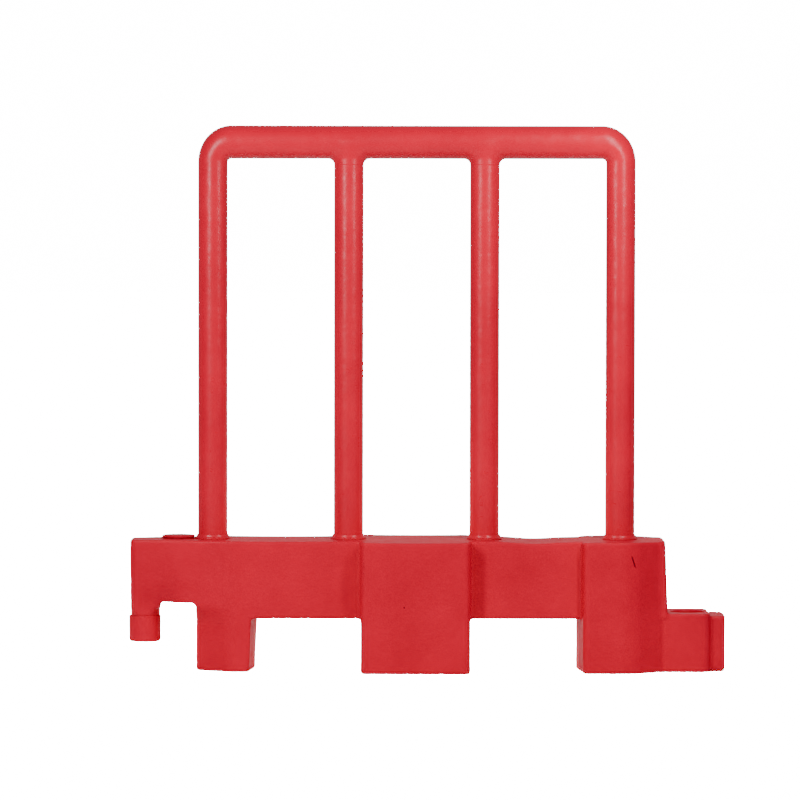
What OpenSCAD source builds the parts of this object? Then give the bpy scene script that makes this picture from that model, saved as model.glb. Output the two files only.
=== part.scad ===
// Water filled barrier: a hollow tank on three feet with a plug-in guard frame.
// A peg under the arm at one end drops into the socket in the lug of the next barrier.
// Millimetres, +Z up, +X along the barrier, origin under the middle of its overall box.

/* [Barrier] */
// Height from the ground to the top of the guard rail
barrier_h = 1000; // [900:10:1100]
// Distance from the peg's axis to the socket's axis, one barrier of a linked row
module_pitch = 1000; // [960:10:1100]
// Moulded wall thickness of the tank
wall = 4; // [3:0.5:5]

/* [Tank] */
// Height of the tank's top face
tank_top = 240; // [220:1:260]
// Ground clearance under the tank between its feet
tank_under = 98; // [70:1:110]
// Depth of the tank panel, front to rear
tank_depth = 160; // [140:1:180]
// Depth of the panel's right end, behind the right foot
tank_end_depth = 134; // [120:1:138]
// Depth that the arm narrows to at its end
arm_end_depth = 78; // [72:1:90]
// Rounding of the upright edges at the arm's end
arm_edge_r = 20; // [14:1:24]
// Rounding of the upright edges at the panel's right end
panel_edge_r = 9; // [6:1:14]
// How far the panel's two ends bow out at the middle of their depth
end_bow = 7; // [4:0.5:8]

/* [Feet] */
// Width of the left foot
left_foot_w = 100; // [90:1:106]
// Depth of the left foot at its outer side, where it has sloped back
left_foot_shallow = 84; // [80:1:100]
// Width of the middle foot
mid_foot_w = 197; // [170:1:200]
// Depth of the middle foot, the deepest part of the barrier
mid_foot_depth = 240; // [220:1:260]
// Width of the right foot
right_foot_w = 149; // [140:1:152]
// Depth of the right foot where its front is flat
right_foot_depth = 216; // [200:1:230]
// Depth of the right foot at its outer side, where it has sloped back
right_foot_shallow = 139; // [130:1:150]
// Rounding of the middle and right feet's upright edges
foot_r = 12; // [8:1:16]

/* [Coupling] */
// Diameter of the coupling peg
peg_d = 59; // [52:1:60]
// Height of the peg's lower end above the ground
peg_low = 50; // [40:1:60]
// Height of the peg's upper end, where the moulded stub begins
peg_high = 98; // [90:1:104]
// Height of the underside of the arm that carries the peg
arm_under = 125; // [118:1:135]
// Diameter of the socket that takes the next barrier's peg
socket_d = 63; // [61:0.5:65]
// Height of the lug next to the right foot
lug_h = 107; // [100:1:110]
// Depth of the lug, front to rear
lug_depth = 138; // [130:1:140]
// Depth of the lower nose at the lug's end
nose_depth = 112; // [104:1:120]
// How far the nose reaches past the socket's axis
nose_reach = 68.5; // [66:0.5:76]

/* [Guard frame] */
// Distance between neighbouring uprights
bar_pitch = 250; // [235:1:255]
// Outside diameter of the uprights
bar_d = 54; // [48:1:56]
// Outside diameter of the top rail
rail_d = 61; // [58:1:64]
// Wall thickness of the frame's tubes
tube_wall = 3.5; // [3:0.5:5]
// Centreline radius of the two bends
bend_r = 33.5; // [32:0.5:45]
// Depth of the pockets that the uprights stand in
pocket_depth = 100; // [70:1:105]

/* [Fill cap] */
// Diameter of the fill cap's flange
cap_d = 60; // [56:1:62]
// Pitch of the fill cap's thread
cap_pitch = 4; // [3.5:0.5:5]

/* [Drain plug] */
// Height of the drain plug's axis above the ground
drain_h = 42; // [38:1:60]
// Pitch of the drain plug's thread
drain_pitch = 3; // [2.5:0.5:3.5]

/* [Hidden] */
$fn = 64;

shell_red = "#cc2e32";
frame_red = "#d23438";
trim_red = "#b3262a";
seal_black = "#202022";

cut = 1;          // how far a cutter runs past the face that it opens
slip = 0.3;       // gap around a piece that stands loosely in another
snug = 0.05;      // gap around a piece that is bonded or pressed into another

// Places along the barrier. The peg's outside and the nose's tip are its two ends.
peg_r = peg_d / 2;
peg_x = peg_r - (module_pitch + nose_reach + peg_r) / 2;
socket_x = peg_x + module_pitch;
frame_x = peg_x + module_pitch / 2;
bar_count = 4;
function bar_x(i) = frame_x + (i - (bar_count - 1) / 2) * bar_pitch;

arm_end_x = peg_x - 20;
left_foot_in = bar_x(0) + 71;                // the side of each outer foot that faces the middle
right_foot_in = bar_x(3) - 73;
left_foot_flat = 38;                         // widths of the flat fronts of the outer feet
right_foot_flat = 91;
mid_foot_x = frame_x - 1.5;
tank_end_x = socket_x - 47;
arm_overlap = 20;                            // how far the arm runs on inside the panel
lug_end_x = socket_x + 39;
lug_end_r = 24;
nose_tip_x = socket_x + nose_reach;
nose_r = 20;
nose_drop = 5;                               // how far the nose's top is below the lug's

// Guard frame
bar_r = bar_d / 2;
rail_r = rail_d / 2;
rail_z = barrier_h - rail_r;
bend_z = barrier_h - bar_r - 0.5;            // the bends lie just under the rail's top line
bend_x = bar_x(3) - bend_r - frame_x;        // where the rail meets a bend, from the middle
pocket_floor = tank_top - pocket_depth;
spigot_r = 18;
spigot_h = 24;
spigot_seat = rail_z - rail_r - 6;           // where an upright's spigot starts, inside its coped end
cope_gap = 0.1;                              // gap between an upright's coped end and the rail

// Ferrules around the feet of the uprights
sleeve_t = 2.2;
sleeve_h = 30;
ferrule_flange_r = bar_r + 5.5;
ferrule_flange_h = 2;
ferrule_h = 8;
pocket_mouth_r = bar_r + slip + sleeve_t + snug;

// Coupling peg
stub_r = peg_r - 1;
core_r = 20;
core_low = peg_low + 8;
peg_chamfer = 4;

// Fill cap and its neck
cap_x = bar_x(0) - 63;
cap_r = cap_d / 2;
neck_bore_r = 22.4;
neck_r = 26;
neck_h = 22;
neck_flange_t = 1.5;
seal_t = 1;
cap_plug_r = 20.4;
cap_plug_h = 20;
cap_flange_t = 4;
cap_seat = tank_top + neck_flange_t + seal_t;
cap_well_r = 16;
cap_well_depth = 14;
cap_grip_w = 9;
cap_turns = 2.5;

// Drain plug and its bush, on the rear of the middle foot
drain_x = mid_foot_x;
rear_y = mid_foot_depth / 2;
recess_r = 28;
recess_depth = 14;
drain_seat = rear_y - recess_depth;
bush_bore_r = 12.7;
bush_r = 17;
bush_h = 14;
bush_flange_r = 24;
bush_flange_t = 2;
drain_seal_t = 1.5;
plug_root_r = 10.9;
plug_h = 13;
plug_head_r = 20;
plug_head_t = 4;
plug_grip_h = 5;
plug_grip_w = 8;
drain_turns = 2;

// Threads: a ridge is widest where it joins the wall
ridge_h = 1.4;
ridge_bed = 0.5;
ridge_root_w = 2;
ridge_crest_w = 1;
thread_steps = 24;

// A rectangle with round corners, built from exact circles.
module round_rect(x0, x1, depth, r) {
    square_y = depth / 2;
    translate([x0 + r, -square_y]) square([x1 - x0 - 2 * r, depth]);
    translate([x0, -square_y + r]) square([x1 - x0, depth - 2 * r]);
    for (x = [x0 + r, x1 - r], y = [-square_y + r, square_y - r])
        translate([x, y]) circle(r);
}

module block(x0, x1, depth, r, z0, z1) {
    translate([0, 0, z0]) linear_extrude(z1 - z0) round_rect(x0, x1, depth, r);
}

// The bow of an end wall, out from x by reach and between -side and side.
module bowed_end(x, reach, side) {
    polygon([
        [x - reach, -side], [x, -side], [x + reach, -side / 4],
        [x + reach, side / 4], [x, side], [x - reach, side]
    ]);
}

// The arm in plan: it narrows from the panel's depth to its end, where its corners are round.
module arm_plan(inset) {
    x_root = left_foot_in - left_foot_flat;
    half_root = tank_depth / 2;
    half_end = arm_end_depth / 2;
    slope = (half_root - half_end) / (x_root - arm_end_x);
    lean = atan(slope);
    x_end = arm_end_x + inset;
    side_y = half_end + slope * inset - inset / cos(lean);
    r = arm_edge_r - inset;
    corner_y = side_y + slope * r - r / cos(lean);
    touch = [x_end + r - r * sin(lean), corner_y + r * cos(lean)];
    root = [x_root + arm_overlap, half_root - inset / cos(lean)];
    polygon([
        [x_end, -corner_y], [touch[0], -touch[1]], [x_root, -root[1]], [root[0], -root[1]],
        root, [x_root, root[1]], touch, [x_end, corner_y]
    ]);
    for (y = [-corner_y, corner_y])
        translate([x_end + r, y]) circle(r);
    bowed_end(x_end, -end_bow, corner_y);
}

// The tank's right end in plan, from inside the right foot to its bowed end wall.
module tank_end_plan(inset) {
    round_rect(right_foot_in + foot_r, tank_end_x - inset, tank_end_depth - 2 * inset,
        panel_edge_r - inset);
    bowed_end(tank_end_x - inset, end_bow, tank_end_depth / 2 - panel_edge_r);
}

// An outer foot in plan, from its inner side at x = 0 to its outer side at x = w. Its front and
// rear are flat next to the inner side and slope back from there.
module foot_plan(w, flat_w, depth, shallow, inset) {
    x0 = inset;
    x2 = w - inset;
    y1 = depth / 2 - inset;
    y2 = shallow / 2 - inset;
    r = foot_r - inset;
    polygon([
        [x0, -y1 + r], [x0 + r, -y1], [flat_w, -y1], [x2, -y2],
        [x2, y2], [flat_w, y1], [x0 + r, y1], [x0, y1 - r]
    ]);
    for (y = [-y1 + r, y1 - r])
        translate([x0 + r, y]) circle(r);
}

// The outside of the tank, or the water space when it is drawn inset by the wall.
module tank_form(inset) {
    top = tank_top - inset;
    translate([0, 0, arm_under + inset]) linear_extrude(top - arm_under - inset)
        arm_plan(inset);
    block(left_foot_in - left_foot_flat + inset, right_foot_in + right_foot_flat - inset,
        tank_depth - 2 * inset, panel_edge_r - inset, tank_under + inset, top);
    translate([0, 0, tank_under + inset]) linear_extrude(top - tank_under - inset)
        tank_end_plan(inset);
    translate([left_foot_in, 0, inset]) mirror([1, 0, 0]) linear_extrude(top - inset)
        foot_plan(left_foot_w, left_foot_flat, tank_depth, left_foot_shallow, inset);
    translate([right_foot_in, 0, inset]) linear_extrude(top - inset)
        foot_plan(right_foot_w, right_foot_flat, right_foot_depth, right_foot_shallow, inset);
    block(mid_foot_x - mid_foot_w / 2 + inset, mid_foot_x + mid_foot_w / 2 - inset,
        mid_foot_depth - 2 * inset, foot_r - inset, inset, top);
    // The lug and its nose run back into the right foot, so that water fills them as well.
    block(right_foot_in + right_foot_flat, lug_end_x - inset, lug_depth - 2 * inset,
        lug_end_r - inset, inset, lug_h - inset);
    block(right_foot_in + right_foot_flat, nose_tip_x - inset, nose_depth - 2 * inset,
        nose_r - inset, inset, lug_h - nose_drop - inset);
}

module upright_pocket_walls() {
    for (i = [0 : bar_count - 1])
        translate([bar_x(i), 0, pocket_floor - wall])
            cylinder(r = pocket_mouth_r + wall, h = pocket_depth + wall - 1);
}

module upright_pockets() {
    for (i = [0 : bar_count - 1]) {
        translate([bar_x(i), 0, pocket_floor])
            cylinder(r = bar_r + slip, h = pocket_depth + cut);
        translate([bar_x(i), 0, tank_top - sleeve_h - snug])
            cylinder(r = pocket_mouth_r, h = sleeve_h + snug + cut);
    }
}

// Everything that stands on the inside or under the arm, before it is bored.
module tank_bosses() {
    upright_pocket_walls();
    translate([socket_x, 0, wall / 2])
        cylinder(d = socket_d + 2 * wall, h = lug_h - wall);
    translate([peg_x, 0, peg_high]) cylinder(r = stub_r, h = arm_under + wall / 2 - peg_high);
    translate([peg_x, 0, core_low]) cylinder(r = core_r, h = arm_under - core_low);
    translate([drain_x, rear_y - wall / 2, drain_h]) rotate([90, 0, 0])
        cylinder(r = recess_r + wall, h = recess_depth + wall / 2);
}

module tank_shell() {
    color(shell_red)
    difference() {
        union() {
            difference() {
                tank_form(0);
                tank_form(wall);
            }
            tank_bosses();
        }
        upright_pockets();
        translate([socket_x, 0, -cut]) cylinder(d = socket_d, h = lug_h + 2 * cut);
        translate([peg_x, 0, core_low + wall])
            cylinder(r = core_r - wall, h = arm_under + 2 * wall - core_low);
        translate([cap_x, 0, tank_top - 3 * wall])
            cylinder(r = neck_r + snug, h = 3 * wall + cut);
        translate([drain_x, rear_y + cut, drain_h]) rotate([90, 0, 0])
            cylinder(r = recess_r, h = recess_depth + cut);
        translate([drain_x, rear_y, drain_h]) rotate([90, 0, 0])
            cylinder(r = bush_r + snug, h = recess_depth + 3 * wall);
    }
}

// The peg is a cup that is pressed up over the hollow core under the arm's moulded stub.
module coupling_peg() {
    color(shell_red)
    translate([peg_x, 0, 0])
    rotate_extrude()
    polygon([
        [0, peg_low], [peg_r - peg_chamfer, peg_low], [peg_r, peg_low + peg_chamfer],
        [peg_r, peg_high], [core_r + snug, peg_high], [core_r + snug, core_low - snug],
        [0, core_low - snug]
    ]);
}

// Half of the hoop's outline solid: a leg, a bend and half of the rail.
module half_hoop(leg_r, top_r, leg_foot, rail_end) {
    translate([bar_x(3) - frame_x, 0, leg_foot])
        cylinder(r = leg_r, h = bend_z - bend_r - leg_foot);
    translate([bend_x, 0, bend_z - bend_r]) rotate([90, 0, 0])
        rotate_extrude(angle = 90) translate([bend_r, 0]) circle(leg_r);
    translate([rail_end - 12, 0, bend_z]) rotate([0, 90, 0])
        cylinder(r = leg_r, h = bend_x - rail_end + 12);
    translate([-cut, 0, rail_z]) rotate([0, 90, 0])
        cylinder(r = top_r, h = rail_end + cut);
}

module hoop_form(leg_r, top_r, leg_foot, rail_end) {
    half_hoop(leg_r, top_r, leg_foot, rail_end);
    mirror([1, 0, 0]) half_hoop(leg_r, top_r, leg_foot, rail_end);
}

module guard_hoop() {
    color(frame_red)
    translate([frame_x, 0, 0])
    difference() {
        hoop_form(bar_r, rail_r, pocket_floor, bend_x + 3);
        hoop_form(bar_r - tube_wall, rail_r - tube_wall, pocket_floor - cut, bend_x - 2);
        for (i = [1, 2])
            translate([bar_x(i) - frame_x, 0, rail_z - rail_r - cut])
                cylinder(r = spigot_r + snug, h = rail_r);
    }
}

// A straight upright, coped at the top to sit under the rail, with a spigot that enters it.
module inner_upright(i) {
    color(frame_red)
    translate([bar_x(i), 0, 0])
    difference() {
        union() {
            difference() {
                translate([0, 0, pocket_floor]) cylinder(r = bar_r, h = rail_z - pocket_floor);
                translate([-bar_d, 0, rail_z]) rotate([0, 90, 0])
                    cylinder(r = rail_r + cope_gap, h = 2 * bar_d);
            }
            translate([0, 0, spigot_seat]) cylinder(r = spigot_r, h = spigot_h);
        }
        translate([0, 0, pocket_floor - cut])
            cylinder(r = bar_r - tube_wall, h = spigot_seat - tube_wall - pocket_floor + cut);
        translate([0, 0, pocket_floor])
            cylinder(r = spigot_r - tube_wall, h = barrier_h - pocket_floor);
    }
}

// A grip collar: a sleeve down in the pocket's mouth and a flared rim on the tank's top.
module ferrule(i) {
    bore_r = bar_r + slip / 2;
    sleeve_r = bar_r + slip + sleeve_t;
    rim_r = bore_r + 2;
    color(trim_red)
    translate([bar_x(i), 0, tank_top])
    rotate_extrude()
    polygon([
        [bore_r, -sleeve_h], [sleeve_r, -sleeve_h], [sleeve_r, 0], [ferrule_flange_r, 0],
        [ferrule_flange_r, ferrule_flange_h], [rim_r, ferrule_h], [bore_r, ferrule_h]
    ]);
}

// One helical thread ridge. It runs outwards from bed_r to crest_r, or inwards if crest_r is less.
module thread_ridge(bed_r, crest_r, pitch, turns) {
    steps = floor(turns * thread_steps);
    corners = 4;
    half_bed = ridge_root_w / 2;
    half_crest = ridge_crest_w / 2;
    section = [[bed_r, -half_bed], [crest_r, -half_crest], [crest_r, half_crest], [bed_r, half_bed]];
    points = [
        for (i = [0 : steps], p = section)
            let (a = 360 * i / thread_steps)
            [p[0] * cos(a), p[0] * sin(a), p[1] + pitch * i / thread_steps]
    ];
    sides = [
        for (i = [0 : steps - 1], k = [0 : corners - 1])
            let (a = i * corners + k, b = i * corners + (k + 1) % corners)
            each [[a, b, b + corners], [a, b + corners, a + corners]]
    ];
    last = steps * corners;
    faces = concat(sides, [[3, 2, 1, 0], [last, last + 1, last + 2, last + 3]]);
    outward = crest_r > bed_r;
    turned_over = [for (f = faces) [for (j = [len(f) - 1 : -1 : 0]) f[j]]];
    polyhedron(points, outward ? faces : turned_over);
}

module fill_neck() {
    color(trim_red)
    translate([cap_x, 0, tank_top]) {
        difference() {
            union() {
                translate([0, 0, -neck_h]) cylinder(r = neck_r, h = neck_h);
                cylinder(r = cap_r, h = neck_flange_t);
            }
            translate([0, 0, -neck_h - cut])
                cylinder(r = neck_bore_r, h = neck_h + neck_flange_t + 2 * cut);
        }
        translate([0, 0, cap_pitch / 2 - neck_h + 5])
            thread_ridge(neck_bore_r + ridge_bed, neck_bore_r - ridge_h, cap_pitch, cap_turns);
    }
}

module fill_cap_gasket() {
    color(seal_black)
    translate([cap_x, 0, cap_seat - seal_t])
    difference() {
        cylinder(r = cap_r - 2, h = seal_t);
        translate([0, 0, -cut]) cylinder(r = cap_plug_r + 1.8, h = seal_t + 2 * cut);
    }
}

// The cap screws into the neck. Two wells in its top leave a bar across the middle to turn it by.
module fill_cap() {
    color(trim_red)
    translate([cap_x, 0, cap_seat]) {
        difference() {
            union() {
                translate([0, 0, -cap_plug_h]) cylinder(r = cap_plug_r, h = cap_plug_h + 1);
                rotate_extrude()
                polygon([
                    [0, 0], [cap_r, 0], [cap_r, cap_flange_t - 1.5],
                    [cap_r - 1.5, cap_flange_t], [0, cap_flange_t]
                ]);
            }
            difference() {
                translate([0, 0, cap_flange_t - cap_well_depth])
                    cylinder(r = cap_well_r, h = cap_well_depth + cut);
                translate([-cap_well_r - cut, -cap_grip_w / 2, -cap_well_depth - cut])
                    cube([2 * cap_well_r + 2 * cut, cap_grip_w, 2 * cap_well_depth]);
            }
        }
        translate([0, 0, tank_top - cap_seat - neck_h + 5])
            thread_ridge(cap_plug_r - ridge_bed, cap_plug_r + ridge_h, cap_pitch, cap_turns);
    }
}

// The drain's pieces are drawn along +Z and then laid over to point out of the rear face.
module at_drain() {
    translate([drain_x, drain_seat, drain_h]) rotate([-90, 0, 0]) children();
}

module drain_bush() {
    color(trim_red)
    at_drain() {
        difference() {
            union() {
                translate([0, 0, -bush_h]) cylinder(r = bush_r, h = bush_h);
                cylinder(r = bush_flange_r, h = bush_flange_t);
            }
            translate([0, 0, -bush_h - cut])
                cylinder(r = bush_bore_r, h = bush_h + bush_flange_t + 2 * cut);
        }
        translate([0, 0, drain_pitch / 2 - bush_h + 3])
            thread_ridge(bush_bore_r + ridge_bed, bush_bore_r - ridge_h + 0.2, drain_pitch, drain_turns);
    }
}

module drain_plug_gasket() {
    color(seal_black)
    at_drain()
    translate([0, 0, bush_flange_t])
    difference() {
        cylinder(r = plug_head_r - 1, h = drain_seal_t);
        translate([0, 0, -cut]) cylinder(r = bush_bore_r + 0.5, h = drain_seal_t + 2 * cut);
    }
}

module drain_plug() {
    seat = bush_flange_t + drain_seal_t;
    color(trim_red)
    at_drain() {
        translate([0, 0, seat - plug_h]) cylinder(r = plug_root_r, h = plug_h + 1);
        translate([0, 0, seat]) cylinder(r = plug_head_r, h = plug_head_t);
        translate([-plug_head_r + 3, -plug_grip_w / 2, seat + plug_head_t - 1])
            cube([2 * plug_head_r - 6, plug_grip_w, plug_grip_h + 1]);
        translate([0, 0, 3 - bush_h])
            thread_ridge(plug_root_r - ridge_bed, plug_root_r + ridge_h - 0.2, drain_pitch, drain_turns);
    }
}

tank_shell();
coupling_peg();
guard_hoop();
inner_upright(1);  // inner_upright_left
inner_upright(2);  // inner_upright_right
ferrule(0);  // ferrule_outer_left
ferrule(1);  // ferrule_inner_left
ferrule(2);  // ferrule_inner_right
ferrule(3);  // ferrule_outer_right
fill_neck();
fill_cap_gasket();
fill_cap();
drain_bush();
drain_plug_gasket();
drain_plug();
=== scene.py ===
"""Looks of the water filled barrier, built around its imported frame.

Shapes are worked out in millimetres as distance fields (functions that are negative inside a piece)
and meshed with a surface net, or turned as lathe profiles. Meshes are stored in metres.
"""
import itertools
import math

import bmesh
import bpy
import numpy as np
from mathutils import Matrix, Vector


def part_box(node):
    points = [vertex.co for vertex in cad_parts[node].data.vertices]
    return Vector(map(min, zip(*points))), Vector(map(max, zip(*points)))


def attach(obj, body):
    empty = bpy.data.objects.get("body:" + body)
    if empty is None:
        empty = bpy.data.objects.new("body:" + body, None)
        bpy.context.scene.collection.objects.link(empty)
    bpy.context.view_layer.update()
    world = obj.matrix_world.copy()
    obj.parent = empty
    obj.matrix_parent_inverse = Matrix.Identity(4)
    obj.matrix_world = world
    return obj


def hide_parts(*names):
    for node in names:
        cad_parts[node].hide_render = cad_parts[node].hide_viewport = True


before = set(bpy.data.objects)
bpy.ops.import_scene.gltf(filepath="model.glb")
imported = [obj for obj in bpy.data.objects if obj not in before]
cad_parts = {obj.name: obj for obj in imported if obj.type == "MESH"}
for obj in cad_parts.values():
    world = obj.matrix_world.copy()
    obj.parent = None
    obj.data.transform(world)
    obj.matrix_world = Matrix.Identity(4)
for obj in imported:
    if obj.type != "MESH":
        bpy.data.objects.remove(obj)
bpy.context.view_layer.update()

MM = 0.001
GRID = 2.5        # cell of the large surface nets, in mm
FINE_GRID = 0.6   # cell of the small ones


# --- Places, from the frame -------------------------------------------------------------------

def box_mm(node):
    """Lowest and highest corner of a CAD node, in mm."""
    low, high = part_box(node)
    return np.array(low) / MM, np.array(high) / MM


def middle_mm(node):
    low, high = box_mm(node)
    return (low + high) / 2


TANK_LOW, TANK_HIGH = box_mm("tank_shell")
PEG_LOW, PEG_HIGH = box_mm("coupling_peg")
HOOP_LOW, HOOP_HIGH = box_mm("guard_hoop")
PLACES = ["outer_left", "inner_left", "inner_right", "outer_right"]
BAR_X = [middle_mm(f"ferrule_{place}")[0] for place in PLACES]
FRAME_X = (BAR_X[0] + BAR_X[3]) / 2
CAP_X = middle_mm("fill_cap")[0]
DRAIN = middle_mm("drain_plug_gasket")

TANK_TOP = TANK_HIGH[2]
PEG_R = (PEG_HIGH[0] - PEG_LOW[0]) / 2
PEG_X = PEG_LOW[0] + PEG_R
NOSE_TIP = TANK_HIGH[0]
SOCKET_X = PEG_X + 1000

# Panel and arm. The field is mirrored, so depths are half depths, measured from the middle.
TANK_UNDER = 98       # height of the panel's underside
ARM_UNDER = 125       # height of the arm's underside
ARM_END = PEG_X - 20
TANK_END = SOCKET_X - 47
END_BOW = 7           # how far both ends bow out at mid depth
END_LEAN = 5.5        # how far the right end leans out from its top to the lug
END_LEAN_SHARE = 0.4  # the part of that lean that stands proud of TANK_END
ARM_END_BACK = 1.5    # how far the arm's bowed end is set back
HALF_PANEL = 80
HALF_TANK_END = 72    # half the depth of the panel's right end
HALF_ARM_END = 39     # half the depth that the arm narrows to
END_TAPER = 30        # length over which the panel narrows to its right end
TANK_END_EDGE = 4     # rounding of the right end's upright edges
ARM_END_EDGE = 10     # rounding of the arm's upright edges
UNDER_FILLET = 6      # rounding where the left foot meets the panel's underside
ARM_FILLET = 9        # rounding in the corners under the arm
WAVE_DEPTH = 0.35     # how far the panel's faces wander from flat
TOP_EDGE = 3          # rounding along the tops
UNDER_EDGE = 5        # rounding along the undersides
SAG = 1.0             # how far the tank's top sinks between its stiff places
SAG_REACH = 55        # how far along the tank a stiff place holds the top up
RIGHT_SAG = 3.0       # how much deeper it sinks in the span left of the right foot
RIGHT_SAG_IN = 92     # place of that dip, right of the inner right bar
RIGHT_SAG_REACH = 42

# Feet
LEFT_FOOT_IN = BAR_X[0] + 68.2
LEFT_FOOT_OUT = LEFT_FOOT_IN - 97.2
LEFT_FOOT_FLAT = 35.2
LEFT_FOOT_SLOPE = 38 / 62
LEFT_FOOT_TURN = 14   # half the width over which the left foot's flat front turns into its slope
LEFT_FOOT_TOP = 84    # height where the foot's slope starts to turn into the arm's
LEFT_FOOT_REACH = 20  # how far left of the foot its slope goes on
LEFT_FOOT_LEAN = 4    # how far its inner side leans in on its way up
RIGHT_FOOT_IN = BAR_X[3] - 70.2
RIGHT_FOOT = dict(width=146.2, flat=88.2, deep=108, shallow=69.5, shoulder=12, soft=6)
RIGHT_FOOT_FILLET = 4
MID_FOOT_X = FRAME_X - 1.5
MID_FOOT_HALF = 100
MID_FOOT_DEEP = 120
MID_FOOT_FILLET = 6
FOOT_EDGE = 12        # rounding of the feet's upright edges
DRAFT = 10            # how far the outer feet's inner sides bulge at mid depth

# The stub that the peg hangs from, and how the arm's end narrows down to it
STUB_R = PEG_R - 1
STUB_SPAN = 45        # reach of the stub along the tank, from the peg's axis
STUB_RISE = 34        # height over which it widens into the arm
STUB_SPREAD = 30      # how much deeper it is at the end of that rise
STUB_HOLD = 0.35      # the part of that rise before it opens out sideways
STUB_FILLET = 2
PEG_BLEND_FROM = 20   # right of the peg's axis, where the arm's front starts to leave the stub
PEG_BLEND_LENGTH = 50
PEG_BLEND_HEIGHT = 70

# Lug and nose
LUG_HALF_W = 39
LUG_HALF_D = 69
LUG_TOP = 107
LUG_EDGE = 14         # rounding of the lug's upright edges
LUG_ROOT = 100        # how far left of the socket the lug starts, inside the tank
LUG_FILLET = 5
NOSE_HALF_D = 56
NOSE_TOP = 102
NOSE_BOW = 2.5        # how far the nose's end falls back at its sides
NOSE_EDGE = 5         # rounding of its upright edges
NOSE_TOP_EDGE = 2
NOSE_UNDER_EDGE = 9
NOSE_FILLET = 3
SOCKET_R = 31.5
SOCKET_EDGE = 3

# Openings in the tank
NECK_WELL = 70        # depth of the hole for the fill neck
MOUTH_GAP = 2.6       # room around each bar in its pocket's mouth
MOUTH_DEPTH = 34
RECESS_R = 28
RECESS_DEPTH = 14
RECESS_EDGE = 2.5
BUSH_HOLE = 40        # depth of the hole for the drain bush

# Guard frame
BAR_R = (box_mm("inner_upright_left")[1][0] - box_mm("inner_upright_left")[0][0]) / 2
RAIL_R = (HOOP_HIGH[1] - HOOP_LOW[1]) / 2
RAIL_Z = HOOP_HIGH[2] - RAIL_R
BEND_IN = 7           # radius of the inside of the bends
SLEEVE_GAP = 0.05     # how far the rail's sleeves stand out from the inner uprights
SLEEVE_DROP = 13      # how far they reach below the rail's underside
SLEEVE_FILLET = 11
TUBE_BORE_R = 18      # bore of the inner uprights, out of sight
SLEEVE_HOLD = 12      # how far an inner upright goes up into its sleeve
FERRULE_DEPTH = 30    # reach of a ferrule into its pocket

# Small fittings
CAP_R = 30
CAP_PLUG_R = 20.4
NECK_BORE_R = 22.4
NECK_R = 26
PLUG_HEAD_R = 20
PLUG_ROOT_R = 10.9
BUSH_BORE_R = 12.7
BUSH_R = 17
BUSH_FLANGE_R = 24
CAP_PITCH, CAP_RIDGE = 4, 1.4     # pitch and height of the fill cap's thread
PLUG_PITCH, PLUG_RIDGE = 3, 1.2   # the same for the drain plug's
RIDGE_HALF = 1.0      # half the width of a thread's ridge at its wall
RIDGE_SLOPE = 0.36    # how fast the ridge narrows on its way out
RIDGE_BED = 1.0       # how deep it is set into its wall
RIDGE_SOFT = 0.4      # rounding of its ends, and its fillet


# --- Distance fields --------------------------------------------------------------------------

def smooth(t):
    """0 up to t = 0, 1 from t = 1, and an S-curve between."""
    t = np.clip(t, 0, 1)
    return t * t * (3 - 2 * t)


def rmax(a, b, r):
    """Where both a and b are solid, with the edge between them rounded to r."""
    corner = np.hypot(np.maximum(r + a, 0), np.maximum(r + b, 0))
    return np.minimum(-r, np.maximum(a, b)) + corner


def rmin(a, b, r):
    """a and b joined, with a fillet of radius r between them."""
    corner = np.hypot(np.maximum(r - a, 0), np.maximum(r - b, 0))
    return np.maximum(r, np.minimum(a, b)) - corner


def between(value, low, high):
    return np.maximum(low - value, value - high)


def thread(radius, angle, z, surface_r, height, pitch, z0, z1):
    """A helical ridge on a surface of radius surface_r: outwards for a positive height."""
    phase = (z - pitch * angle / (2 * math.pi) - z0) / pitch
    off = np.abs(phase - np.round(phase)) * pitch
    out = math.copysign(1, height) * (radius - surface_r)
    flank = off - RIDGE_HALF + RIDGE_SLOPE * out
    ridge = np.maximum(np.maximum(flank, out - abs(height)), -out - RIDGE_BED)
    return rmax(ridge, between(z, z0, z1), RIDGE_SOFT)


# --- Meshing ----------------------------------------------------------------------------------

def gradient(field, p, h):
    """Slope of field at points p, from steps of h to both sides."""
    slopes = []
    for axis in range(3):
        step = np.zeros(3)
        step[axis] = h
        slopes.append((field(*(p + step).T) - field(*(p - step).T)) / (2 * h))
    return np.stack(slopes, 1)


def onto_surface(field, p, h, times):
    """Moves points onto the zero surface of field."""
    for _ in range(times):
        slope = gradient(field, p, h)
        length2 = np.maximum((slope**2).sum(1), 0.05)
        move = (field(*p.T) / length2)[:, None] * slope
        size = np.linalg.norm(move, axis=1, keepdims=True)
        p = p - move * np.minimum(1, 10 * h / np.maximum(size, 1e-9))
    return p


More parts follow.
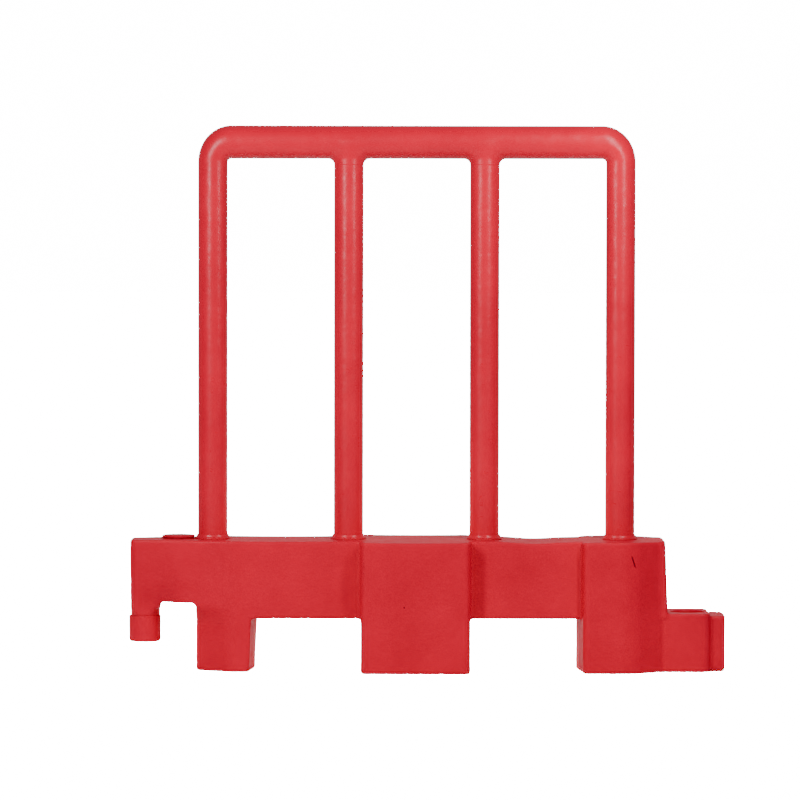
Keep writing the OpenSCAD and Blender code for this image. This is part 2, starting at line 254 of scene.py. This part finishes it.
def surface_net(field, low, high, step):
    """Vertices and quads of the surface where field is zero inside a box, all in mm."""
    x, y, z = (np.arange(a - 1.5 * step, b + 2.5 * step, step) for a, b in zip(low, high))
    slab = 24
    parts = []
    for start in range(0, len(x), slab):
        part = field(x[start:start + slab, None, None], y[None, :, None], z[None, None, :])
        parts.append(np.asarray(part, np.float32))
    value = np.concatenate(parts)
    inside = value < 0

    cells = tuple(n - 1 for n in value.shape)
    count = np.zeros(cells, np.int8)
    for o in itertools.product((0, 1), repeat=3):
        count += inside[tuple(slice(k, k + n) for k, n in zip(o, cells))]
    crossed = (count > 0) & (count < 8)
    cell = np.argwhere(crossed)
    index = np.full(cells, -1, np.int32)
    index[crossed] = np.arange(len(cell))

    total = np.zeros((len(cell), 3))
    hits = np.zeros(len(cell))
    for axis in range(3):
        others = [a for a in range(3) if a != axis]
        for ends in itertools.product((0, 1), repeat=2):
            base = np.zeros(3, int)
            base[others] = ends
            tip = base.copy()
            tip[axis] = 1
            a = value[tuple((cell + base).T)]
            b = value[tuple((cell + tip).T)]
            cross = (a < 0) != (b < 0)
            t = np.where(cross, a / np.where(cross, a - b, 1), 0)
            total += np.where(cross[:, None], base + (tip - base) * t[:, None], 0)
            hits += cross
    points = cell + total / hits[:, None]
    points = np.array([x[0], y[0], z[0]]) + points * step

    quads = []
    for axis in range(3):
        b_axis, c_axis = (axis + 1) % 3, (axis + 2) % 3
        low_side = [slice(1, n - 1) for n in value.shape]
        low_side[axis] = slice(0, value.shape[axis] - 1)
        high_side = list(low_side)
        high_side[axis] = slice(1, value.shape[axis])
        first = inside[tuple(low_side)]
        edge = np.argwhere(first != inside[tuple(high_side)])
        solid_low = first[tuple(edge.T)]
        for a in (b_axis, c_axis):
            edge[:, a] += 1
        ring = []
        for db, dc in ((1, 1), (0, 1), (0, 0), (1, 0)):
            at = edge.copy()
            at[:, b_axis] -= db
            at[:, c_axis] -= dc
            ring.append(index[tuple(at.T)])
        quad = np.stack(ring, 1)
        quads.append(np.where(solid_low[:, None], quad, quad[:, ::-1]))
    return points, np.concatenate(quads)


def relaxed(points, quads, amount):
    """Points moved part of the way to the mean of their neighbours."""
    total = np.zeros_like(points)
    count = np.zeros(len(points))
    for a, b in ((0, 1), (1, 2), (2, 3), (3, 0)):
        for p, q in ((a, b), (b, a)):
            np.add.at(total, quads[:, p], points[quads[:, q]])
            np.add.at(count, quads[:, p], 1)
    return points + amount * (total / np.maximum(count, 1)[:, None] - points)


def mesh_object(name, points_mm, faces):
    mesh = bpy.data.meshes.new(name)
    mesh.from_pydata((np.asarray(points_mm) * MM).tolist(), [], np.asarray(faces).tolist())
    mesh.validate()
    mesh.shade_smooth()
    obj = bpy.data.objects.new(name, mesh)
    bpy.context.scene.collection.objects.link(obj)
    return obj


def moulded(name, field, low, high, step):
    """A piece from its distance field, with its points pulled onto the true surface."""
    points, quads = surface_net(field, low, high, step)
    for _ in range(2):
        points = relaxed(points, quads, 0.5)
        points = onto_surface(field, points, step / 25, 2)
    return mesh_object(name, points, quads)


def rounded_outline(corners, steps):
    """A closed outline through corners (u, v, radius), with arcs and a holding point by each."""
    hold = 1.0   # the furthest that a holding point lies from its arc
    out = []
    n = len(corners)
    for i, (u, v, r) in enumerate(corners):
        here = np.array([u, v], float)
        to_last = np.array(corners[i - 1][:2], float) - here
        to_next = np.array(corners[(i + 1) % n][:2], float) - here
        if r <= 0:
            out.append(here)
            continue
        e, f = to_last / np.linalg.norm(to_last), to_next / np.linalg.norm(to_next)
        half = math.acos(max(-1, min(1, float(e @ f)))) / 2
        back = r / math.tan(half)
        spare = min(hold, 0.3 * np.linalg.norm(to_last), 0.3 * np.linalg.norm(to_next))
        centre = here + (e + f) / np.linalg.norm(e + f) * r / math.sin(half)
        a, b = here + e * back - centre, here + f * back - centre
        turn = math.pi - 2 * half
        out.append(here + e * (back + spare))
        for k in range(steps + 1):
            t = k / steps
            arm = a * math.sin((1 - t) * turn) + b * math.sin(t * turn)
            out.append(centre + arm / math.sin(turn))
        out.append(here + f * (back + spare))
    return np.array(out)


def turned(name, corners, centre, segments=128, lay_over=False, steps=6):
    """A lathe piece: the outline (radius, height, corner radius) turned about Z, or about +Y."""
    outline = rounded_outline(corners, steps)
    angle = np.arange(segments) * 2 * math.pi / segments
    r, h = outline[:, 0][None, :], outline[:, 1][None, :]
    x = r * np.cos(angle)[:, None]
    y = r * np.sin(angle)[:, None]
    z = h + 0 * x
    points = np.stack([x, z, -y] if lay_over else [x, y, z], -1)
    points = points.reshape(-1, 3) + np.array(centre)
    n = outline.shape[0]
    i, k = np.meshgrid(np.arange(segments), np.arange(n), indexing="ij")
    j, m = (i + 1) % segments, (k + 1) % n
    quads = np.stack([i * n + k, j * n + k, j * n + m, i * n + m], -1).reshape(-1, 4)
    obj = mesh_object(name, points, quads)
    mesh = bmesh.new()
    mesh.from_mesh(obj.data)
    bmesh.ops.remove_doubles(mesh, verts=mesh.verts, dist=1e-6)
    bmesh.ops.recalc_face_normals(mesh, faces=mesh.faces)
    mesh.to_mesh(obj.data)
    mesh.free()
    obj.data.shade_smooth()
    return obj


# --- Tank -------------------------------------------------------------------------------------

def stiffness_gap(x):
    """Distance along the barrier to the nearest place that holds the tank's top up."""
    return np.minimum.reduce([np.abs(x - place) for place in BAR_X + [CAP_X]])


def tank_top(x):
    general = SAG * (1 - np.exp(-(stiffness_gap(x) / SAG_REACH) ** 2))
    right_span = RIGHT_SAG * np.exp(-((x - BAR_X[2] - RIGHT_SAG_IN) / RIGHT_SAG_REACH) ** 2)
    return TANK_TOP - general - right_span


def capped(plan, z, low, high):
    """A plan shape between two heights, with its top and bottom edges rounded."""
    return rmax(rmax(plan, z - high, TOP_EDGE), low - z, UNDER_EDGE)


def foot_plan(x, ay, width, flat, deep, shallow, shoulder, soft):
    """A foot from above: x runs outwards from its inner side, and its outer corner slopes off."""
    run, rise = width - flat, deep - shallow
    slope = ((x - flat) * rise + (ay - deep) * run) / math.hypot(run, rise)
    inner_side = -x - DRAFT * (1 - ay / deep)
    plan = rmax(rmax(ay - deep, slope, shoulder), inner_side, FOOT_EDGE)
    return rmax(plan, x - width, soft)


def panel_field(x, ay, z, top):
    """The panel with the arm, the peg's stub and the left foot, which share its front and rear."""
    face = HALF_PANEL + WAVE_DEPTH * np.sin(x / 41 + 0.7) * np.sin(z / 29 + x / 90)
    past_flat = x - RIGHT_FOOT_IN - RIGHT_FOOT["flat"]
    face = face - (HALF_PANEL - HALF_TANK_END) * smooth(past_flat / END_TAPER)
    root_x = LEFT_FOOT_IN - LEFT_FOOT_FLAT
    ramp = np.clip(root_x - x + LEFT_FOOT_TURN, 0, 2 * LEFT_FOOT_TURN) ** 2 / (4 * LEFT_FOOT_TURN)
    ramp = ramp + np.maximum(root_x - x - LEFT_FOOT_TURN, 0)
    arm_slope = (HALF_PANEL - HALF_ARM_END) / (root_x - ARM_END)
    low_down = 1 - smooth((z - LEFT_FOOT_TOP) / (ARM_UNDER - LEFT_FOOT_TOP))
    on_foot = low_down * (x > LEFT_FOOT_OUT - LEFT_FOOT_REACH)
    face = face - ramp * (arm_slope + (LEFT_FOOT_SLOPE - arm_slope) * on_foot)
    by_peg = 1 - smooth((x - PEG_X - PEG_BLEND_FROM) / PEG_BLEND_LENGTH)
    at_peg = by_peg * (1 - smooth((z - PEG_HIGH[2]) / PEG_BLEND_HEIGHT))
    face = face - (face - STUB_R - 1) * at_peg

    bow = END_BOW * (1 - (np.minimum(ay, HALF_PANEL) / HALF_PANEL) ** 6)
    lean = END_LEAN * (END_LEAN_SHARE - np.clip((z - LUG_TOP) / (TANK_TOP - LUG_TOP), 0, 1))
    plan = rmax(ay - face, x - TANK_END - bow - lean, TANK_END_EDGE)
    plan = rmax(plan, ARM_END - bow + ARM_END_BACK - x, ARM_END_EDGE)
    solid = rmax(plan, z - top, TOP_EDGE)

    bulge = DRAFT * (1 - np.minimum(ay / HALF_PANEL, 1))
    bulge = bulge + LEFT_FOOT_LEAN * np.clip(z / TANK_UNDER, 0, 1)
    past_foot = rmax(z - TANK_UNDER, LEFT_FOOT_IN + bulge - x, UNDER_FILLET)
    beside_foot = rmax(PEG_X + STUB_R - x, x - LEFT_FOOT_OUT, 0)
    before_foot = rmax(z - ARM_UNDER, beside_foot, ARM_FILLET)
    solid = rmax(rmax(solid, -past_foot, UNDER_EDGE), -before_foot, UNDER_EDGE)
    solid = rmax(solid, -z, UNDER_EDGE)

    rise = np.clip((z - PEG_HIGH[2]) / STUB_RISE, 0, 1)
    stub = np.hypot((x - PEG_X) / STUB_R, ay / (STUB_R + STUB_SPREAD * rise)) - 1
    opened = 2 * smooth((rise - STUB_HOLD) / (1 - STUB_HOLD))   # in radii; at 2 it trims nothing
    stub = rmax(STUB_R * (stub - opened), PEG_HIGH[2] - z, 0.3)
    return np.where(x < PEG_X + STUB_SPAN, rmax(solid, stub, STUB_FILLET), solid)


def tank_field(x, y, z):
    """The whole tank, with its openings."""
    ay = np.abs(y)
    top = tank_top(x)
    solid = panel_field(x, ay, z, top)

    mid_plan = rmax(np.abs(x - MID_FOOT_X) - MID_FOOT_HALF, ay - MID_FOOT_DEEP, FOOT_EDGE)
    solid = rmin(solid, capped(mid_plan, z, 0, top), MID_FOOT_FILLET)
    right = foot_plan(x - RIGHT_FOOT_IN, ay, **RIGHT_FOOT)
    solid = rmin(solid, capped(right, z, 0, top), RIGHT_FOOT_FILLET)

    lug_span = between(x, SOCKET_X - LUG_ROOT, SOCKET_X + LUG_HALF_W)
    lug = capped(rmax(lug_span, ay - LUG_HALF_D, LUG_EDGE), z, 0, LUG_TOP)
    nose_end = NOSE_TIP - NOSE_BOW * np.minimum(ay / NOSE_HALF_D, 1) ** 2
    nose_plan = rmax(np.maximum(SOCKET_X - x, x - nose_end), ay - NOSE_HALF_D, NOSE_EDGE)
    nose = rmax(rmax(nose_plan, z - NOSE_TOP, NOSE_TOP_EDGE), -z, NOSE_UNDER_EDGE)
    lug = rmin(lug, nose, NOSE_FILLET)
    solid = rmin(solid, lug, LUG_FILLET)
    solid = np.maximum(solid, between(z, 0, top))   # the fillets must not swell flush faces

    solid = rmax(solid, SOCKET_R - np.hypot(x - SOCKET_X, y), SOCKET_EDGE)
    neck_well = np.maximum(np.hypot(x - CAP_X, y) - NECK_R, TANK_TOP - NECK_WELL - z)
    solid = rmax(solid, -neck_well, 1)
    for bar_x in BAR_X:
        mouth = np.hypot(x - bar_x, y) - BAR_R - MOUTH_GAP
        solid = np.maximum(solid, -np.maximum(mouth, TANK_TOP - MOUTH_DEPTH - z))
    across = np.hypot(x - DRAIN[0], z - DRAIN[2])
    recess = np.maximum(across - RECESS_R, MID_FOOT_DEEP - RECESS_DEPTH - y)
    solid = rmax(solid, -recess, RECESS_EDGE)
    bush_hole = np.maximum(across - BUSH_R, MID_FOOT_DEEP - BUSH_HOLE - y)
    return np.maximum(solid, -bush_hole)


def build_tank():
    return moulded("tank", tank_field, TANK_LOW, TANK_HIGH, GRID)


# --- Guard frame ------------------------------------------------------------------------------

def hoop_field(x, y, z):
    """The bent tube: legs, bends and rail, with a short sleeve for each inner upright."""
    ax = np.abs(x - FRAME_X)
    leg_x = BAR_X[3] - FRAME_X
    arc_x, arc_z = leg_x - BAR_R - BEND_IN, RAIL_Z - RAIL_R - BEND_IN
    leg = np.maximum(np.hypot(y, ax - leg_x) - BAR_R, between(z, HOOP_LOW[2], arc_z))
    turn = np.clip(np.arctan2(z - arc_z, ax - arc_x) * 2 / math.pi, 0, 1)
    bend_r = BAR_R + (RAIL_R - BAR_R) * smooth(turn)
    bend = np.hypot(y, np.hypot(ax - arc_x, z - arc_z) - BEND_IN - bend_r) - bend_r
    bend = np.where((ax > arc_x) & (z > arc_z), bend, 1e3)
    rail = np.maximum(np.hypot(y, z - RAIL_Z) - RAIL_R, ax - arc_x)
    hoop = np.minimum(np.minimum(leg, bend), rail)
    for bar_x in BAR_X[1:3]:
        sleeve = np.hypot(x - bar_x, y) - BAR_R - SLEEVE_GAP
        sleeve = rmax(sleeve, between(z, RAIL_Z - RAIL_R - SLEEVE_DROP, RAIL_Z), 0.1)
        hoop = rmin(hoop, sleeve, SLEEVE_FILLET)
    return hoop


def build_hoop():
    return moulded("guard_hoop_tube", hoop_field, HOOP_LOW, HOOP_HIGH, GRID)


def build_upright(side, bar_x):
    low = HOOP_LOW[2]
    high = RAIL_Z - RAIL_R - SLEEVE_DROP + SLEEVE_HOLD
    corners = [
        (TUBE_BORE_R, low, 0), (BAR_R, low, 2), (BAR_R, high, 2), (TUBE_BORE_R, high, 0),
    ]
    return turned(f"upright_{side}", corners, (bar_x, 0, 0))


def build_ferrule(place, bar_x):
    bore, sleeve, flange = BAR_R + 0.15, BAR_R + 2.4, BAR_R + 5.5
    corners = [
        (bore, -FERRULE_DEPTH, 0.4), (sleeve, -FERRULE_DEPTH, 0.4), (sleeve, 0, 0),
        (flange, 0, 0.4), (flange, 2.4, 0.9),
        (bore + 3.4, 3.4, 2.5), (bore + 1.6, 8, 0.6), (bore, 8, 0.3),
    ]
    return turned(f"collar_{place}", corners, (bar_x, 0, TANK_TOP))


def build_peg():
    low, high = PEG_LOW[2], PEG_HIGH[2] + 0.4
    corners = [(0, low, 0), (PEG_R, low, 5), (PEG_R, high, 0.6), (0, high, 0)]
    return turned("peg", corners, (PEG_X, 0, 0))


# --- Fill cap and drain plug ------------------------------------------------------------------

def polar(x, y):
    return np.hypot(x, y), np.arctan2(y, x)


def build_cap():
    low, high = box_mm("fill_cap")
    seat = high[2] - 4
    well_floor = seat - 10
    grip_half = 4.5

    def field(x, y, z):
        radius, angle = polar(x - CAP_X, y)
        ribs = 0.5 * (0.5 + 0.5 * np.cos(40 * angle)) * (np.abs(z - seat - 1.7) < 1.6)
        flange = rmax(rmax(radius - CAP_R + ribs, z - seat - 4, 1.4), seat - z, 0.5)
        plug = rmax(radius - CAP_PLUG_R, low[2] - z, 1.2)
        plug = np.maximum(plug, z - seat - 1)
        solid = rmin(flange, plug, 0.5)
        well = rmax(radius - 16, grip_half - np.abs(y), 2)
        solid = rmax(solid, -np.maximum(well, well_floor - z), 1.2)
        ridge = thread(radius, angle, z, CAP_PLUG_R, CAP_RIDGE, CAP_PITCH,
                       TANK_TOP - 17, TANK_TOP - 7)
        return rmin(solid, ridge, RIDGE_SOFT)

    return moulded("cap", field, low, high, FINE_GRID)


def build_neck():
    low, high = box_mm("fill_neck")

    def field(x, y, z):
        radius, angle = polar(x - CAP_X, y)
        barrel = rmax(radius - NECK_R, between(z, low[2], TANK_TOP + 1), 1)
        flange = rmax(radius - CAP_R, between(z, TANK_TOP, high[2]), 0.7)
        solid = rmax(rmin(barrel, flange, 0.4), NECK_BORE_R - radius, 0.6)
        ridge = thread(radius, angle, z, NECK_BORE_R, -CAP_RIDGE, CAP_PITCH,
                       TANK_TOP - 15, TANK_TOP - 5)
        return rmin(solid, ridge, RIDGE_SOFT)

    return moulded("neck", field, low, high, FINE_GRID)


def build_drain_plug():
    low, high = box_mm("drain_plug")
    seat = MID_FOOT_DEEP - RECESS_DEPTH + 3.5
    grip_half = 4

    def field(x, y, z):
        radius, angle = polar(z - DRAIN[2], x - DRAIN[0])
        ribs = 0.5 * (0.5 + 0.5 * np.cos(28 * angle)) * (np.abs(y - seat - 1.7) < 1.6)
        head = rmax(radius - PLUG_HEAD_R + ribs, between(y, seat, seat + 4), 0.9)
        post = rmax(radius - PLUG_ROOT_R, between(y, low[1], seat + 1), 1)
        grip_end = np.abs(x - DRAIN[0]) - PLUG_HEAD_R + 3
        grip = rmax(np.abs(z - DRAIN[2]) - grip_half, grip_end, 2.5)
        grip = rmax(grip, between(y, seat, high[1]), 1.6)
        solid = rmin(rmin(head, post, 0.5), grip, 1.5)
        ridge = thread(radius, angle, y, PLUG_ROOT_R, PLUG_RIDGE, PLUG_PITCH,
                       seat - 14.5, seat - 8.5)
        return rmin(solid, ridge, RIDGE_SOFT)

    return moulded("plug", field, low, high, FINE_GRID)


def build_drain_bush():
    low, high = box_mm("drain_bush")
    face = MID_FOOT_DEEP - RECESS_DEPTH

    def field(x, y, z):
        radius, angle = polar(z - DRAIN[2], x - DRAIN[0])
        barrel = rmax(radius - BUSH_R, between(y, low[1], face + 1), 0.8)
        flange = rmax(radius - BUSH_FLANGE_R, between(y, face, high[1]), 0.8)
        solid = rmax(rmin(barrel, flange, 0.4), BUSH_BORE_R - radius, 0.6)
        ridge = thread(radius, angle, y, BUSH_BORE_R, -PLUG_RIDGE, PLUG_PITCH,
                       face - 9.5, face - 3.5)
        return rmin(solid, ridge, RIDGE_SOFT)

    return moulded("bush", field, low, high, FINE_GRID)


def build_gasket(name, node, axis, inner):
    """A ring of round-edged section that fills its CAD node's box, around the given axis."""
    low, high = box_mm(node)
    thick = high[axis] - low[axis]
    outer = (high[0] - low[0]) / 2
    edge = 0.35 * thick
    corners = [(inner, 0, edge), (outer, 0, edge), (outer, thick, edge), (inner, thick, edge)]
    centre = (low + high) / 2
    centre[axis] = low[axis]
    return turned(name, corners, centre, segments=96, lay_over=axis == 1, steps=3)


# --- Materials --------------------------------------------------------------------------------

def set_range(node, a, b, low, high):
    """Sets a Map Range node to carry a..b over to low..high."""
    for key, value in (("From Min", a), ("From Max", b), ("To Min", low), ("To Max", high)):
        node.inputs[key].default_value = value


class Nodes:
    """Short ways to add and link shader nodes in one material."""

    def __init__(self, name):
        self.material = bpy.data.materials.new(name)
        self.material.use_nodes = True
        self.tree = self.material.node_tree
        self.shader = self.tree.nodes["Principled BSDF"]
        self.where = self.add("ShaderNodeTexCoord").outputs["Object"]

    def add(self, kind, **settings):
        node = self.tree.nodes.new(kind)
        for key, value in settings.items():
            setattr(node, key, value)
        return node

    def link(self, source, target):
        self.tree.links.new(source, target)

    def noise(self, scale, detail=3.0, rough=0.5, stretch=(1, 1, 1)):
        """Noise in the object's own space, finer along an axis that is stretched."""
        where = self.where
        if stretch != (1, 1, 1):
            mapping = self.add("ShaderNodeMapping")
            mapping.inputs["Scale"].default_value = stretch
            self.link(where, mapping.inputs["Vector"])
            where = mapping.outputs["Vector"]
        node = self.add("ShaderNodeTexNoise")
        node.inputs["Scale"].default_value = scale
        node.inputs["Detail"].default_value = detail
        node.inputs["Roughness"].default_value = rough
        self.link(where, node.inputs["Vector"])
        return node.outputs["Fac"]

    def span(self, source, a, b, low, high):
        """source from a..b carried over to low..high."""
        node = self.add("ShaderNodeMapRange")
        set_range(node, a, b, low, high)
        self.link(source, node.inputs["Value"])
        return node.outputs["Result"]

    def math(self, operation, a, b=0.0):
        node = self.add("ShaderNodeMath", operation=operation)
        for socket, value in zip(node.inputs, (a, b)):
            if isinstance(value, bpy.types.NodeSocket):
                self.link(value, socket)
            else:
                socket.default_value = value
        return node.outputs["Value"]

    def mix(self, factor, a, b):
        node = self.add("ShaderNodeMix", data_type="RGBA")
        for key, value in (("Factor", factor), ("A", a), ("B", b)):
            socket = node.inputs[key]
            if isinstance(value, bpy.types.NodeSocket):
                self.link(value, socket)
            elif isinstance(value, tuple):
                socket.default_value = (*value, 1)
            else:
                socket.default_value = value
        return node.outputs["Result"]

    def bump(self, height, distance, before=None):
        node = self.add("ShaderNodeBump")
        node.inputs["Distance"].default_value = distance
        self.link(height, node.inputs["Height"])
        if before is not None:
            self.link(before, node.inputs["Normal"])
        return node.outputs["Normal"]


def paint_dark_mark(n, colour, at, lean, half_width, half_length, dark):
    """A short dark mark painted into the colour on the front, at (x, z) metres, leaning to the
    right on its way down; where it stands for a groove, it is painted shade.
    """
    parts = n.add("ShaderNodeSeparateXYZ")
    n.link(n.where, parts.inputs["Vector"])
    down = n.math("SUBTRACT", parts.outputs["Z"], at[1])
    across = n.math("SUBTRACT", parts.outputs["X"], at[0])
    across = n.math("ADD", across, n.math("MULTIPLY", down, lean))
    thin = n.span(n.math("ABSOLUTE", across), half_width * 0.5, half_width, 1, 0)
    short = n.span(n.math("ABSOLUTE", down), half_length * 0.6, half_length, 1, 0)
    front = n.math("LESS_THAN", parts.outputs["Y"], 0.0)
    mark = n.math("MULTIPLY", n.math("MULTIPLY", thin, short), front)
    return n.mix(mark, colour, dark)


def moulded_plastic(name, base, rough, worn=0.5, shine=0.12, dark_marks=()):
    """Satin moulded polyethylene: mottled colour, fine grain, scuffs and paler worn edges."""
    n = Nodes(name)
    light = tuple(min(1, c * 1.12) for c in base)
    dark = tuple(c * 0.88 for c in base)
    chalk = tuple(c * 0.95 + 0.012 for c in base)
    mottle = n.span(n.noise(7, 4, 0.55), 0.3, 0.7, 0, 1)
    speck = n.span(n.noise(420, 2, 0.6), 0.35, 0.65, 0, 0.12)
    colour = n.mix(mottle, dark, light)
    colour = n.mix(speck, colour, light)
    scuff = n.span(n.noise(26, 6, 0.75, (1, 1, 3)), 0.62, 0.74, 0, 0.35 * worn)
    colour = n.mix(scuff, colour, chalk)
    edge = n.add("ShaderNodeNewGeometry").outputs["Pointiness"]
    edge = n.span(edge, 0.53, 0.62, 0, 0.5 * worn)
    colour = n.mix(edge, colour, chalk)
    for dark_mark in dark_marks:
        # dark marks painted into the colour: painted shade where a slit's groove would be, and a
        # small dark dot
        colour = paint_dark_mark(n, colour, *dark_mark, tuple(c * 0.12 for c in base))
    n.link(colour, n.shader.inputs["Base Color"])
    patchy = n.span(n.noise(60, 5, 0.6), 0.3, 0.7, rough - 0.05, rough + 0.07)
    n.link(patchy, n.shader.inputs["Roughness"])
    grain = n.bump(n.noise(900, 2, 0.5), 0.00012)
    waves = n.bump(n.noise(38, 2, 0.4), 0.0012, before=grain)
    n.link(waves, n.shader.inputs["Normal"])
    n.shader.inputs["IOR"].default_value = 1.51
    n.shader.inputs["Specular IOR Level"].default_value = shine
    return n.material


def seal_rubber(name):
    """Matt black rubber with a greyish bloom."""
    n = Nodes(name)
    bloom = n.span(n.noise(90, 4, 0.6), 0.4, 0.7, 0, 0.5)
    colour = n.mix(bloom, (0.012, 0.012, 0.013), (0.035, 0.035, 0.038))
    n.link(colour, n.shader.inputs["Base Color"])
    n.link(n.span(n.noise(200), 0.3, 0.7, 0.6, 0.8), n.shader.inputs["Roughness"])
    n.link(n.bump(n.noise(1500, 2), 0.0001), n.shader.inputs["Normal"])
    return n.material


def studio_white(name):
    """White paper for the floor: burnt out where it is looked at, plain paper as a reflector."""
    n = Nodes(name)
    n.tree.nodes.remove(n.shader)
    seen, bounced = n.add("ShaderNodeBsdfDiffuse"), n.add("ShaderNodeBsdfDiffuse")
    n.link(n.mix(n.noise(1.5, 2), (68, 68, 68), (72, 72, 72)), seen.inputs["Color"])
    bounced.inputs["Color"].default_value = (0.80, 0.80, 0.80, 1)
    join = n.add("ShaderNodeMixShader")
    n.link(n.add("ShaderNodeLightPath").outputs["Is Camera Ray"], join.inputs["Fac"])
    n.link(bounced.outputs["BSDF"], join.inputs[1])
    n.link(seen.outputs["BSDF"], join.inputs[2])
    n.link(join.outputs["Shader"], n.tree.nodes["Material Output"].inputs["Surface"])
    return n.material


# --- Stage ------------------------------------------------------------------------------------

def build_floor():
    half = 40.0
    corners = [(-half, -half, 0), (half, -half, 0), (half, half, 0), (-half, half, 0)]
    floor = mesh_object("studio_floor", np.array(corners) / MM, [(0, 1, 2, 3)])
    floor.data.materials.append(studio_white("studio_white"))


def build_world():
    """White where it is looked at, and a dim light on the barrier that is stronger from behind."""
    world = bpy.data.worlds.new("studio")
    world.use_nodes = True
    tree = world.node_tree
    dim = tree.nodes["Background"]
    direction = tree.nodes.new("ShaderNodeTexCoord").outputs["Generated"]
    parts = tree.nodes.new("ShaderNodeSeparateXYZ")
    tree.links.new(direction, parts.inputs["Vector"])
    brightness = tree.nodes.new("ShaderNodeMapRange")
    set_range(brightness, -0.2, 0.8, 0.05, 0.40)
    tree.links.new(parts.outputs["Y"], brightness.inputs["Value"])
    tree.links.new(brightness.outputs["Result"], dim.inputs["Strength"])
    white = tree.nodes.new("ShaderNodeBackground")
    white.inputs["Strength"].default_value = 16
    for background in (dim, white):
        background.inputs["Color"].default_value = (1, 1, 1, 1)
    join = tree.nodes.new("ShaderNodeMixShader")
    path = tree.nodes.new("ShaderNodeLightPath")
    tree.links.new(path.outputs["Is Camera Ray"], join.inputs["Fac"])
    tree.links.new(dim.outputs["Background"], join.inputs[1])
    tree.links.new(white.outputs["Background"], join.inputs[2])
    tree.links.new(join.outputs["Shader"], tree.nodes["World Output"].inputs["Surface"])
    bpy.context.scene.world = world


def add_sun(name, strength, spread, tilt):
    """A wide front light, tilted up from straight down, that leaves no shine of its own."""
    light = bpy.data.lights.new(name, "SUN")
    light.energy = strength
    light.angle = math.radians(spread)
    obj = bpy.data.objects.new(name, light)
    obj.rotation_euler = (math.radians(tilt), 0, 0)
    obj.visible_glossy = False
    bpy.context.scene.collection.objects.link(obj)


def add_softbox(name, place, target, size, power, spread=180, reflected=True):
    """A rectangular light of size metres at place, turned towards target."""
    light = bpy.data.lights.new(name, "AREA")
    light.shape = "RECTANGLE"
    light.size, light.size_y = size
    light.energy = power
    light.spread = math.radians(spread)
    obj = bpy.data.objects.new(name, light)
    obj.location = place
    obj.rotation_euler = (Vector(target) - Vector(place)).to_track_quat("-Z", "Y").to_euler()
    obj.visible_camera = False
    obj.visible_glossy = reflected
    bpy.context.scene.collection.objects.link(obj)


def build_studio():
    build_floor()
    build_world()
    add_sun("overhead", strength=0.65, spread=60, tilt=70)
    # The front pair draws the streaks down the bars.
    bars = (0, 0, 0.95)
    add_softbox("left_softbox", (-1.15, -1.55, 1.30), bars, (0.28, 0.9), 30)
    add_softbox("right_softbox", (0.67, -0.85, 1.30), bars, (0.15, 0.9), 14)
    add_softbox("rear_softbox", (0, 2.2, 1.35), (0, 0, 0.75), (2.0, 1.2), 34, reflected=False)
    # The low pair reaches the inner sides of the outer feet from behind.
    low_fill = dict(size=(0.5, 0.2), power=1.8, spread=40, reflected=False)
    add_softbox("rear_left_fill", (-1.25, 0.95, 0.16), (0.28, 0, 0.04), **low_fill)
    add_softbox("rear_right_fill", (1.15, 0.95, 0.16), (-0.32, 0, 0.04), **low_fill)


def build_camera():
    """A camera with a long lens, in front of the barrier and looking slightly down at it."""
    distance, height, aim = 9.0, 0.85, 0.4957   # aim is the height at the barrier that it looks at
    side = (FRAME_X - 31) * MM
    lens_per_metre = 24.46
    roll = math.radians(-0.1)
    data = bpy.data.cameras.new("camera")
    data.sensor_width = 36
    data.lens = lens_per_metre * distance
    camera = bpy.data.objects.new("camera", data)
    camera.location = (side, -distance, height)
    down = math.atan((height - aim) / distance)
    camera.rotation_euler = (math.pi / 2 - down, roll, 0)
    bpy.context.scene.collection.objects.link(camera)
    bpy.context.scene.camera = camera


# --- Assembly ---------------------------------------------------------------------------------


def fit(piece, material, body, node):
    """Gives a new piece its material and its body, and hides the CAD node that it stands for."""
    piece.data.materials.clear()
    piece.data.materials.append(material)
    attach(piece, body)
    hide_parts(node)


build_camera()
build_studio()

RED = (0.62, 0.001, 0.024)
TRIM_RED = tuple(c * 0.8 for c in RED)
# Each dark mark painted into the tank's colour: its middle (x, z), how far it leans, half its width
# and half its length, in metres. The first is painted shade where the groove of a slit on the right
# foot would be; the second is a small dark dot on the middle foot.
DARK_MARKS = [((0.3765, 0.2050), 0.32, 0.0016, 0.012), ((-0.0415, 0.122), 0.0, 0.0014, 0.0018)]
tank_red = moulded_plastic("tank_red", RED, rough=0.40, dark_marks=DARK_MARKS)
frame_red = moulded_plastic("frame_red", RED, rough=0.31, worn=0.3, shine=0.27)
trim_red = moulded_plastic("trim_red", TRIM_RED, rough=0.42, worn=0.4)
rubber = seal_rubber("rubber")

fit(build_tank(), tank_red, "barrier", "tank_shell")
fit(build_peg(), tank_red, "barrier", "coupling_peg")
fit(build_hoop(), frame_red, "barrier", "guard_hoop")
for side, bar_x in zip(("left", "right"), BAR_X[1:3]):
    fit(build_upright(side, bar_x), frame_red, "barrier", f"inner_upright_{side}")
for place, bar_x in zip(PLACES, BAR_X):
    fit(build_ferrule(place, bar_x), frame_red, "barrier", f"ferrule_{place}")
fit(build_neck(), trim_red, "barrier", "fill_neck")
cap_gasket = build_gasket("cap_gasket", "fill_cap_gasket", axis=2, inner=CAP_PLUG_R + 1.8)
fit(cap_gasket, rubber, "fill_seal", "fill_cap_gasket")
fit(build_cap(), trim_red, "fill_cap", "fill_cap")
fit(build_drain_bush(), trim_red, "barrier", "drain_bush")
plug_gasket = build_gasket("plug_gasket", "drain_plug_gasket", axis=1, inner=BUSH_BORE_R + 0.5)
fit(plug_gasket, rubber, "drain_seal", "drain_plug_gasket")
fit(build_drain_plug(), trim_red, "drain_plug", "drain_plug")
